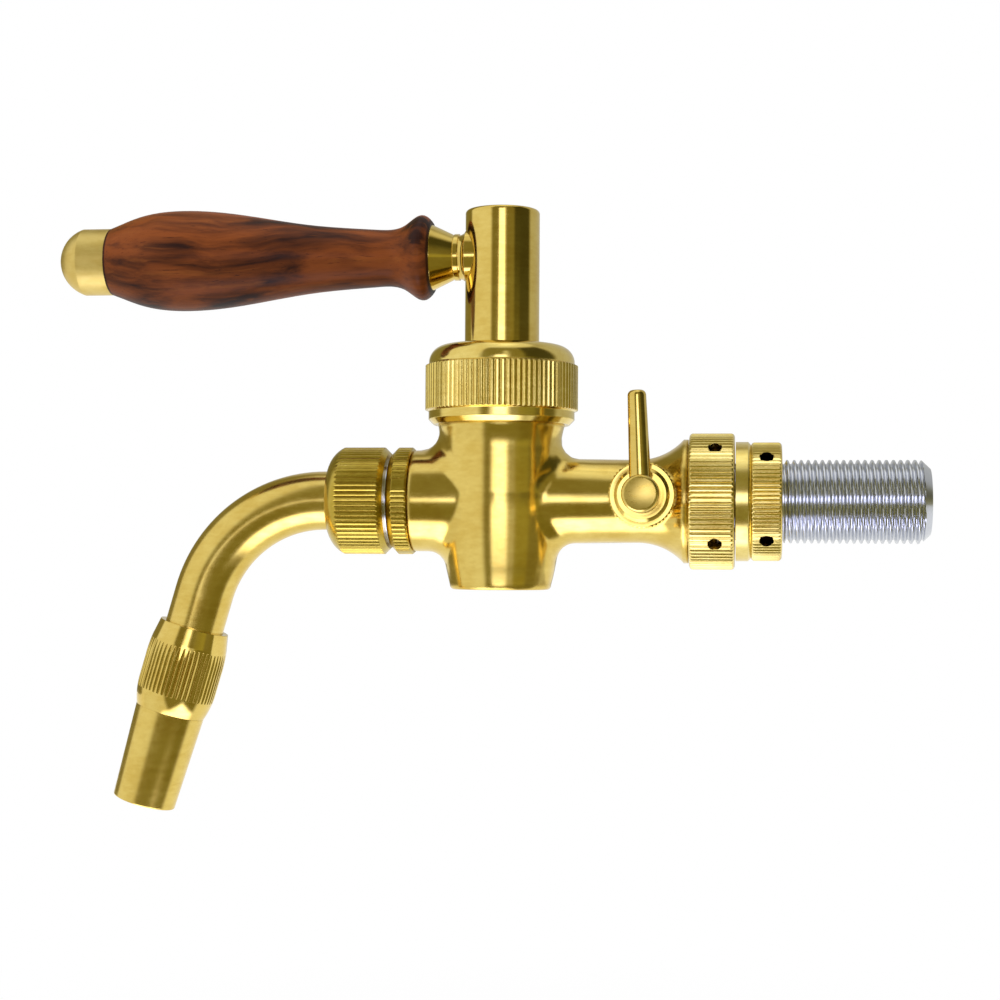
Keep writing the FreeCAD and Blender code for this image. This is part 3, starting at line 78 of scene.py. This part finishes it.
class Signal:
    """A node's output that stands in ordinary sums and products."""

    def __init__(self, tree, socket=None):
        self.tree = tree
        self.socket = socket

    def node(self, kind, settings=None, sockets=None, out=0):
        """Add a node, set it up, fill or link its sockets, and give back one of its outputs."""
        made = self.tree.nodes.new(kind)
        for name, value in (settings or {}).items():
            setattr(made, name, value)
        for name, value in (sockets or {}).items():
            fill(made.inputs[name], value)
        return Signal(self.tree, made.outputs[out])

    def math(self, operation, *values):
        """A Math node on these values."""
        return self.node("ShaderNodeMath", {"operation": operation}, dict(enumerate(values)))

    def __add__(self, other):
        return self.math("ADD", self, other)

    def __radd__(self, other):
        return self.math("ADD", other, self)

    def __sub__(self, other):
        return self.math("SUBTRACT", self, other)

    def __rsub__(self, other):
        return self.math("SUBTRACT", other, self)

    def __mul__(self, other):
        return self.math("MULTIPLY", self, other)

    def __rmul__(self, other):
        return self.math("MULTIPLY", other, self)

    def __pow__(self, other):
        return self.math("POWER", self, other)

    def __abs__(self):
        return self.math("ABSOLUTE", self)

    def at_least(self, other):
        """The greater of the two values."""
        return self.math("MAXIMUM", self, other)

    def step(self, low, high):
        """0 at low, 1 at high, and a smooth rise between."""
        return self.node(
            "ShaderNodeMapRange", {"interpolation_type": "SMOOTHSTEP"},
            {"Value": self, "From Min": low, "From Max": high})

    def between(self, first, second):
        """The first colour where this is 0 and the second where it is 1."""
        return self.node("ShaderNodeMix", {"data_type": "RGBA"}, {0: self, 6: first, 7: second}, 2)

    def vector(self, operation, other=(0, 0, 0), out=0):
        """A Vector Math node on this vector and another."""
        return self.node("ShaderNodeVectorMath", {"operation": operation}, {0: self, 1: other}, out)

    def scaled(self, x, y, z):
        """A place stretched along the three axes."""
        return self.vector("MULTIPLY", (x, y, z))

    def noise(self, size, detail=4, roughness=0.55):
        """Cloudy values about 0.5 with lumps of a size in metres."""
        return self.node(
            "ShaderNodeTexNoise", None,
            {"Vector": self, "Scale": 1 / size, "Detail": detail, "Roughness": roughness})

    def axis(self, letter):
        """One coordinate of a place."""
        return self.node("ShaderNodeSeparateXYZ", None, {0: self}, "XYZ".index(letter))


def fill(socket, value):
    """Link a signal to a socket, or set a plain value on it."""
    if isinstance(value, Signal):
        value.tree.links.new(value.socket, socket)
    elif socket.type == "RGBA":
        socket.default_value = (*value, 1)
    else:
        socket.default_value = value


def new_finish(name):
    """An empty material, the place on the piece in metres, and the principled shader."""
    material = bpy.data.materials.new(name)
    material.use_nodes = True
    tree = material.node_tree
    place = Signal(tree).node("ShaderNodeTexCoord", None, None, "Object")
    return material, place, tree.nodes["Principled BSDF"]


def feed(shader, **values):
    """Link signals to the shader, or set plain values on it, by socket name."""
    for name, value in values.items():
        fill(shader.inputs[name.replace("_", " ")], value)


def wear(material, *names):
    """Give CAD nodes a finish."""
    for name in names:
        slots = nodes[name].data.materials
        slots.clear()
        slots.append(material)


def brass(name, colour, gloss, haze, lines=0.0, dull=0.0, edge=EDGE, lift=None, swell=None,
          mark=None):
    """Brass buffed or turned to a roughness, with haze, tool lines and dull patches.

    lift says how far the buffed surface tilts upward, swell is the height of a rounded face in
    metres, and mark changes the tone at a place, such as painted shade in the spanner holes.
    """
    material, place, shader = new_finish(name)
    cloud = place.noise(CLOUDS)
    smear = place.scaled(1, 1, 3).noise(SMEARS, detail=6, roughness=0.65)
    specks = place.noise(SPECKS, detail=2).step(0.62, 0.8)
    turned = place.scaled(1, TOOL_STRETCH, TOOL_STRETCH)
    turned = turned.noise(TOOL_LINES, detail=3, roughness=0.7)
    deep = tuple(channel * share for channel, share in zip(colour, DEEP_SHARE))
    tone = (cloud * 0.55 + smear * 0.45).step(0.34, 0.66).between(deep, colour)
    if mark:
        tone = mark(place, tone)
    rough = gloss + haze * smear + dull * cloud.step(0.45, 0.7) + specks * 0.05
    relief = place.node("ShaderNodeBevel", {"samples": 6}, {"Radius": edge})
    if lift:
        upward = place.node("ShaderNodeCombineXYZ", None, {"Z": lift(place)})
        relief = relief.vector("ADD", upward).vector("NORMALIZE")
    relief = place.node(
        "ShaderNodeBump", None,
        {"Strength": 0.08 + 0.5 * lines, "Distance": TOOL_DEPTH,
         "Height": turned * lines + smear * 0.15, "Normal": relief})
    if swell:
        relief = place.node(
            "ShaderNodeBump", None,
            {"Strength": 1, "Distance": 1, "Height": swell(place), "Normal": relief})
    feed(shader, Base_Color=tone, Roughness=rough, Normal=relief, Metallic=1.0)
    return material


def buffed_foot(place):
    """Buffing takes most of the taper out of the barrel's foot."""
    beside = abs(place.axis("X") - BARREL_X).step(FOOT_SIDE, FOOT_FLAT)
    below = (place.axis("Z") * -1 + FOOT_TOP).at_least(0)
    return below * beside * FOOT_TILT


mirror_brass = brass("mirror brass", BRASS, gloss=0.07, haze=0.07)
cast_brass = brass(
    "cast brass", BRASS, gloss=0.10, haze=0.09, edge=CAST_EDGE, lift=buffed_foot)
wear(cast_brass, "faucet_body")

# Bonnet nut: a knurled brass cap nut that screws down on the neck and holds the spindle in.
# It is turned and polished. Its dome, bands and knurl are a shade paler than the body.

PALE_BRASS = (0.85, 0.67, 0.21)
KNURL_EDGE = 0.0004

knurl_brass = brass("knurled brass", PALE_BRASS, gloss=0.10, haze=0.08, edge=KNURL_EDGE)
wear(knurl_brass, "bonnet_nut")

# Spindle: an upright brass post, buffed after turning, with a pocket for the handle's foot.
# It turns in a brass bushing. Black rubber rings seal it, the sleeve on the spout side, the
# lever's shaft and the nozzle.

wear(mirror_brass, "spindle", "bonnet_bushing")
rubber, place, shader = new_finish("black rubber")
feed(shader, Base_Color=(0.015, 0.015, 0.016), Roughness=place.noise(0.002) * 0.3 + 0.5)
wear(rubber, "stem_o_ring_lower", "stem_o_ring_upper", "compensator_o_ring",
     "seat_carrier_o_ring", "nozzle_seal")

# Ball seats, thrust washer and compensator cone: white plastic with a waxy surface, turned
# from rod. The gaskets between the metal joints are pressed fibre.

white_plastic, place, shader = new_finish("white seat plastic")
feed(shader, Base_Color=(0.80, 0.79, 0.74), Roughness=place.noise(0.001) * 0.2 + 0.35)
wear(white_plastic, "ball_seat_inlet", "ball_seat_outlet", "thrust_washer",
     "compensator_piston")
fibre, place, shader = new_finish("gasket fibre")
speckle = place.noise(0.0006).between((0.32, 0.24, 0.16), (0.45, 0.36, 0.26))
feed(shader, Base_Color=speckle, Roughness=0.9)
wear(fibre, "bonnet_gasket", "coupling_gasket", "spout_gasket")

# Handle: a hardwood grip turned on a lathe, lacquered, and clamped on a rod between a brass
# ferrule and a brass knob. The grain runs along the grip in long dark streaks, with finer
# bands, fibres and pores, and a thin dark seam shows where the wood meets the brass.

STREAKS = 0.0085
BANDS = 0.0034
FIBRES = 0.0006
PORES = 0.00035
WARP = 0.012
OUTER_SEAM = 0.0004
INNER_SEAM = 0.0003
SEAM_FADE = 0.0005
WOOD = (0.185, 0.046, 0.009)
STREAK = (0.055, 0.014, 0.004)

wear(mirror_brass, "handle_ferrule")
wood, place, shader = new_finish("lacquered hardwood")
low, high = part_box("handle_grip")
drift = (place.scaled(0.5, 1, 1).noise(0.02, detail=2) - 0.5) * WARP
warped = place.vector("ADD", drift)
streaks = warped.scaled(0.10, 1, 1).noise(STREAKS, detail=5, roughness=0.55)
bands = warped.scaled(0.06, 1, 1).noise(BANDS, detail=3, roughness=0.6)
fibres = place.scaled(0.03, 1, 1).noise(FIBRES, detail=4, roughness=0.7)
pores = place.scaled(0.05, 1, 1).noise(PORES, detail=2).step(0.64, 0.72)
outer_end = low.x + OUTER_SEAM
inner_end = high.x - INNER_SEAM
outer_seam = place.axis("X").step(outer_end + SEAM_FADE, outer_end)
inner_seam = place.axis("X").step(inner_end - SEAM_FADE, inner_end)
tone = streaks.step(0.40, 0.60).between(WOOD, STREAK)
# Each further tone of the wood: how much of it there is at a place, and its colour.
for share, colour in (
    (streaks.step(0.55, 0.63) * 0.95, (0.016, 0.0055, 0.0042)),
    (bands.step(0.52, 0.72) * 0.55, (0.030, 0.009, 0.005)),
    (bands.step(0.46, 0.30) * 0.5, (0.23, 0.066, 0.012)),
    (fibres.step(0.5, 0.8) * 0.35, (0.03, 0.009, 0.005)),
    (pores * 0.6, (0.012, 0.004, 0.003)),
    (outer_seam.at_least(inner_seam) * 0.85, (0.010, 0.004, 0.003)),
):
    tone = share.between(tone, colour)
grain = place.node(
    "ShaderNodeBump", None,
    {"Strength": 0.25, "Distance": 0.00008, "Height": fibres * 0.5 - pores})
feed(shader, Base_Color=tone, Roughness=0.36 + fibres * 0.16, Normal=grain, Coat_Weight=0.04,
     Coat_Roughness=0.2, Specular_IOR_Level=0.10)
wear(wood, "handle_grip")

# Knob: the brass end of the handle, which clamps the grip on the rod. It is turned with a
# rounded nose and left satin.

satin_brass = brass("satin brass", (0.80, 0.62, 0.21), gloss=0.36, haze=0.10, lines=0.5)
wear(satin_brass, "handle_knob")

# Spout side: the sleeve that presses the seat on the ball is turned stainless, like the ball,
# the stop pin, the handle's rod and the screens. It shows as a thin line between the knurled
# lock ring and the knurled spout nut, both of duller brass.

dull_brass = brass(
    "dull brass", (0.59, 0.45, 0.085), gloss=0.17, haze=0.10, lines=0.35, dull=0.04)
wear(dull_brass, "seat_lock_ring", "spout_nut")
stainless, place, shader = new_finish("turned stainless")
turned = place.scaled(1, 0.02, 0.02).noise(0.00012, detail=3, roughness=0.7)
tone = place.noise(0.004, detail=5).between((0.55, 0.57, 0.63), (0.71, 0.73, 0.79))
relief = place.node(
    "ShaderNodeBump", None, {"Strength": 0.4, "Distance": 0.00001, "Height": turned})
feed(shader, Base_Color=tone, Metallic=1.0, Roughness=0.16 + turned * 0.1, Normal=relief)
wear(stainless, "seat_carrier", "valve_ball", "stop_pin", "handle_tie_rod",
     "nozzle_screen_upper", "nozzle_screen_lower", "screen_spacer")

# Spout: a brass tube bent round a former and polished. Its nozzle is a knurled collar that
# holds the screens, with a tapered tip for pouring foam.

spout_brass = brass("spout brass", BRASS, gloss=0.15, haze=0.10)
wear(spout_brass, "spout_tube", "nozzle_tip")
wear(mirror_brass, "nozzle_collar")

# Tower side: the coupling nut, a plain ring and the lock nut sit on the shank. All three are
# turned brass with a satin surface. Both nuts have four holes for a pin spanner, with shade
# painted black inside them.

HOLE_BAND = 0.0021
HOLE_SHADE = (0.035, 0.022, 0.006)
HOLE_RINGS = ((-0.0189, 0.01965), (-0.0044, 0.01705))


def painted_hole_shade(place, tone):
    """Painted shade, black below the surface, in the band round each nut that has the holes."""
    radius = (place.axis("Y") ** 2 + place.axis("Z") ** 2) ** 0.5
    for middle, rim in HOLE_RINGS:
        beside = abs(place.axis("X") - middle).step(HOLE_BAND + 0.0001, HOLE_BAND)
        below = radius.step(rim - 0.0003, rim - 0.0016)
        tone = (beside * below).between(tone, HOLE_SHADE)
    return tone


nut_brass = brass(
    "nut brass", (0.91, 0.74, 0.26), gloss=0.15, haze=0.09, lines=0.25, mark=painted_hole_shade)
wear(nut_brass, "coupling_nut", "lock_nut", "shank_collar")

# Shank: a stainless tube with a 2 mm thread along it, chamfered at its end. The CAD solid is
# plain at the thread's crest, so this piece carries the cut thread, the flange and the bore.
# Where the nuts sit on it, its crests are turned down to the pitch radius.

PITCH = 0.002
THREAD_DEPTH = 0.00115
THREAD_FLAT = 0.16
THREAD_START = 0.0005
CREST_RADIUS = 0.012
PITCH_RADIUS = 0.01135
FLANGE_THICKNESS = 0.0024
BORE_RADIUS = 0.005
MOUTH_RADIUS = 0.008
MOUTH_LENGTH = 0.015
TIP_LENGTH = 0.0026
TIP_RADIUS = 0.0095
STEPS_ROUND = 120
STEPS_PER_TURN = 12
SHARP_ANGLE = math.radians(40)

low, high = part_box("shank")
tip_start = high.x - TIP_LENGTH
first_turn = low.x + FLANGE_THICKNESS
count = round((high.x - first_turn) / PITCH * STEPS_PER_TURN)
verts, faces = [], []


def depth_share(turns):
    """How deep the thread is cut, from 0 on the crest to 1 in the root."""
    across = abs((turns % 1) - 0.5) * 2
    rise = min(max((across - THREAD_FLAT) / (1 - 2 * THREAD_FLAT), 0), 1)
    return rise * rise * (3 - 2 * rise)


def threaded(x):
    """The radius of the shank's outside at a place along it, as a function of the angle."""
    limit = CREST_RADIUS if x >= THREAD_START else PITCH_RADIUS
    if x > tip_start:
        limit -= (CREST_RADIUS - TIP_RADIUS) * (x - tip_start) / TIP_LENGTH

    def radius(angle):
        cut = THREAD_DEPTH * depth_share(x / PITCH - angle / (2 * math.pi))
        return min(limit, CREST_RADIUS - cut)
    return radius


def add_ring(x, radius):
    """One ring of points round the shank, with the radius as a function of the angle."""
    for step in range(STEPS_ROUND):
        angle = 2 * math.pi * step / STEPS_ROUND
        out = radius(angle)
        verts.append((x, out * math.cos(angle), out * math.sin(angle)))


add_ring(low.x, lambda angle: MOUTH_RADIUS)
add_ring(low.x, lambda angle: high.z)
add_ring(first_turn, lambda angle: high.z)
for step in range(count + 1):
    x = first_turn + (high.x - first_turn) * step / count
    add_ring(x, threaded(x))
add_ring(high.x, lambda angle: BORE_RADIUS)
add_ring(low.x + MOUTH_LENGTH, lambda angle: BORE_RADIUS)
rings = len(verts) // STEPS_ROUND
for ring in range(rings):
    following = (ring + 1) % rings
    for step in range(STEPS_ROUND):
        beside = (step + 1) % STEPS_ROUND
        faces.append((ring * STEPS_ROUND + step, ring * STEPS_ROUND + beside,
                      following * STEPS_ROUND + beside, following * STEPS_ROUND + step))
mesh = bpy.data.meshes.new("threaded shank")
mesh.from_pydata(verts, [], faces)
mesh.validate()
mesh.shade_smooth()
mesh.set_sharp_from_angle(angle=SHARP_ANGLE)
mesh.materials.append(stainless)
shank = bpy.data.objects.new("threaded_shank", mesh)
bpy.context.scene.collection.objects.link(shank)
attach(shank, "tap")
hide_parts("shank")

# Compensator: a small lever with a round brass head turns the cone inside the shank. The
# gland nut round its shaft has a very fine knurl and a raised, polished ring.

LEVER_X = -0.0392
LEVER_Z = 0.0013
HUB_SWELL = 19
RING_RADIUS = 0.0072
RING_CURVE = 2000
RING_HEIGHT = 0.00002


def from_lever_axis(place):
    """The square of the distance from the axis that the lever turns about."""
    return (place.axis("X") - LEVER_X) ** 2 + (place.axis("Z") - LEVER_Z) ** 2


def domed(place):
    """The hub's face bulges half a millimetre."""
    return from_lever_axis(place) * -HUB_SWELL


def ringed(place):
    """The gland nut's face has one rounded ring with a groove on each side."""
    radius = from_lever_axis(place) ** 0.5
    return place.math("COSINE", (radius - RING_RADIUS) * RING_CURVE) * RING_HEIGHT


hub_brass = brass("hub brass", BRASS, gloss=0.24, haze=0.08, swell=domed)
wear(hub_brass, "compensator_shaft")
gland_brass = brass("gland brass", BRASS, gloss=0.08, haze=0.08, swell=ringed)
wear(gland_brass, "compensator_gland_nut")
wear(mirror_brass, "compensator_lever")

# Floor: pale and matt, 16 cm below the tap. The camera sees it white, a little darker where
# the tap keeps the light off. For the metal it glows with a painted reflection: white on the
# left and behind, painted shade on the right and in front, and one bright painted pool of
# light in front of the spout and the barrel.

FLOOR_DROP = 0.16
FLOOR_SIZE = 6.0
MIDDLE_X = -0.08
SHADOW = 0.12
SHADOW_NEAR = 0.15
SHADOW_FAR = 0.6
DEGREES = 180 / math.pi
WHITE = (1, 1, 1)
LEFT_REFLECTION = (0.90, 0.90, 0.88)
FRONT_REFLECTION = (0.26, 0.235, 0.085)
RIGHT_REFLECTION = (0.23, 0.205, 0.06)
BACK_REFLECTION = (1.0, 1.0, 0.97)
PAINTED_POOL = (3.3, 3.3, 4.1)

half = FLOOR_SIZE / 2
floor_z = cad_box[0][2] - FLOOR_DROP
floor_mesh = bpy.data.meshes.new("floor")
floor_mesh.from_pydata(
    [(-half, -half, floor_z), (half, -half, floor_z), (half, half, floor_z),
     (-half, half, floor_z)],
    [], [(0, 1, 2, 3)])
floor = bpy.data.objects.new("floor", floor_mesh)
bpy.context.scene.collection.objects.link(floor)
pale, place, shader = new_finish("pale floor")
feed(shader, Base_Color=(0.93, 0.93, 0.93), Roughness=0.9)
away = place.vector("DISTANCE", (MIDDLE_X, 0, floor_z), out=1)
across = place.axis("X")
depth = place.axis("Y")
bearing = place.math("ARCTAN2", across - MIDDLE_X, depth * -1) * DEGREES
# One zone fades into the next between two bearings in degrees or two places in metres.
behind = depth.step(-0.04, 0.05)
# A painted pool of light, which only the metal sees, lies in front of the spout and the barrel.
painted_pool = depth.step(-0.27, -0.18) * (1 - behind)
painted_pool = painted_pool * across.step(-0.33, -0.26) * (1 - across.step(-0.03, 0.03))
# Painted reflections for the metal: white on the left and behind, painted shade in front and on the
# right.
painted_reflection = bearing.step(-33, -22).between(LEFT_REFLECTION, FRONT_REFLECTION)
painted_reflection = bearing.step(36, 46).between(painted_reflection, RIGHT_REFLECTION)
painted_reflection = behind.between(painted_reflection, BACK_REFLECTION)
painted_reflection = painted_pool.between(painted_reflection, PAINTED_POOL)
camera_ray = place.node("ShaderNodeLightPath", None, None, "Is Camera Ray")
glossy_ray = place.node("ShaderNodeLightPath", None, None, "Is Glossy Ray")
shine = place.node("ShaderNodeEmission", None, {"Color": camera_ray.between(painted_reflection, WHITE)})
unshaded = 1 - SHADOW + away.step(SHADOW_NEAR, SHADOW_FAR) * SHADOW
share = (camera_ray * unshaded).at_least(glossy_ray)
lit = Signal(place.tree, shader.outputs[0])
mixed = place.node("ShaderNodeMixShader", None, {0: share, 1: lit, 2: shine})
fill(place.tree.nodes["Material Output"].inputs["Surface"], mixed)
floor_mesh.materials.append(pale)

# Light tent: white sheets hung round and over the tap, with dark gaps between them, which the
# metal mirrors as bright and dark bands. The camera sees plain white instead, and the matt
# pieces get an even grey light.

GAP = (0.26, 0.235, 0.095)
ROOF = (0.92, 0.92, 0.90)
ROOF_MIDDLE = (1.30, 1.30, 1.26)
EVEN_LIGHT = (0.45, 0.45, 0.45)

world = bpy.data.worlds.new("light tent")
bpy.context.scene.world = world
world.use_nodes = True
direction = Signal(world.node_tree).node("ShaderNodeTexCoord", None, None, "Generated")
side = direction.math("ARCTAN2", direction.axis("X"), direction.axis("Y") * -1) * DEGREES
rise = direction.math("ARCSINE", direction.axis("Z")) * DEGREES
# The roof begins between 56 and 70 degrees up, and is brightest overhead.
glow = rise.step(56, 70).between(GAP, ROOF)
glow = rise.step(72, 84).between(glow, ROOF_MIDDLE)
# Each sheet or gap: from and to in degrees round from the front, from and to in height, how
# softly it ends, and its brightness and tone.
for left, right, bottom, top, soft, bright in (
    (-190, -156, -60, 50, 8, (0.60, 0.60, 0.58)),
    (-103, -27, -60, 95, 5, (0.94, 0.94, 0.92)),
    (44, 98, 4, 60, 5, (0.07, 0.066, 0.025)),
    (102, 190, -60, 60, 6, (0.55, 0.55, 0.52)),
    (30, 62, -60, 5, 5, (0.40, 0.37, 0.11)),
    (10, 18, 0, 40, 4, (0.85, 0.85, 0.82)),
    (16, 33, -60, 3, 4, (0.70, 0.70, 0.67)),
    (-12, 20, -60, 4, 3, (1.50, 1.50, 1.70)),
    (-11, 17, -1, 3, 2.5, (2.90, 2.90, 3.70)),
    (-5, 15, 3, 8, 2.5, (2.70, 2.70, 3.40)),
    (-3, 14, 7, 15, 2.5, (2.70, 2.70, 3.40)),
):
    across = side.step(left - soft, left + soft) * (1 - side.step(right - soft, right + soft))
    upright = rise.step(bottom - soft, bottom + soft) * (1 - rise.step(top - soft, top + soft))
    glow = (across * upright).between(glow, bright)
camera_ray = direction.node("ShaderNodeLightPath", None, None, "Is Camera Ray")
diffuse_ray = direction.node("ShaderNodeLightPath", None, None, "Is Diffuse Ray")
glow = diffuse_ray.between(glow, EVEN_LIGHT)
glow = camera_ray.between(glow, WHITE)
fill(world.node_tree.nodes["Background"].inputs["Color"], glow)

# Lamps: two soft sheets of light, one in front on the left and one above. They light the wood
# and the floor, and the metal doesn't mirror them.

# Each lamp: its place, its width in metres and its power in watts.
for name, position, size, power in (
    ("left sheet", (-0.75, -0.75, 0.45), 0.8, 6.0),
    ("top sheet", (0.05, -0.30, 0.85), 0.7, 5.0),
):
    lamp = bpy.data.lights.new(name, "AREA")
    lamp.size = size
    lamp.energy = power
    lamp_object = bpy.data.objects.new(name, lamp)
    lamp_object.location = position
    aim = Vector((MIDDLE_X, 0, 0)) - Vector(position)
    lamp_object.rotation_euler = aim.to_track_quat("-Z", "Y").to_euler()
    lamp_object.visible_glossy = False
    bpy.context.scene.collection.objects.link(lamp_object)

# Camera: it stands 56 cm in front of the tap, a little to the right of its middle and a
# little below it, and leans by about a third of a degree, as in the photograph.

CAMERA_PLACE = Vector((-0.0099, -0.5565, -0.0173))
CAMERA_AIM = Vector((-0.0817, 0.0, 0.0003))
FIELD = math.radians(29.26)
TILT = math.radians(0.36)
NEAREST = 0.01

view = bpy.data.cameras.new("camera")
view.sensor_fit = "HORIZONTAL"
view.angle = FIELD
view.clip_start = NEAREST
camera = bpy.data.objects.new("camera", view)
look = (CAMERA_AIM - CAMERA_PLACE).to_track_quat("-Z", "Y").to_matrix()
look = look @ Matrix.Rotation(TILT, 3, "Z")
camera.matrix_world = Matrix.Translation(CAMERA_PLACE) @ look.to_4x4()
bpy.context.scene.collection.objects.link(camera)
bpy.context.scene.camera = camera
bpy.context.scene.view_settings.view_transform = "Standard"
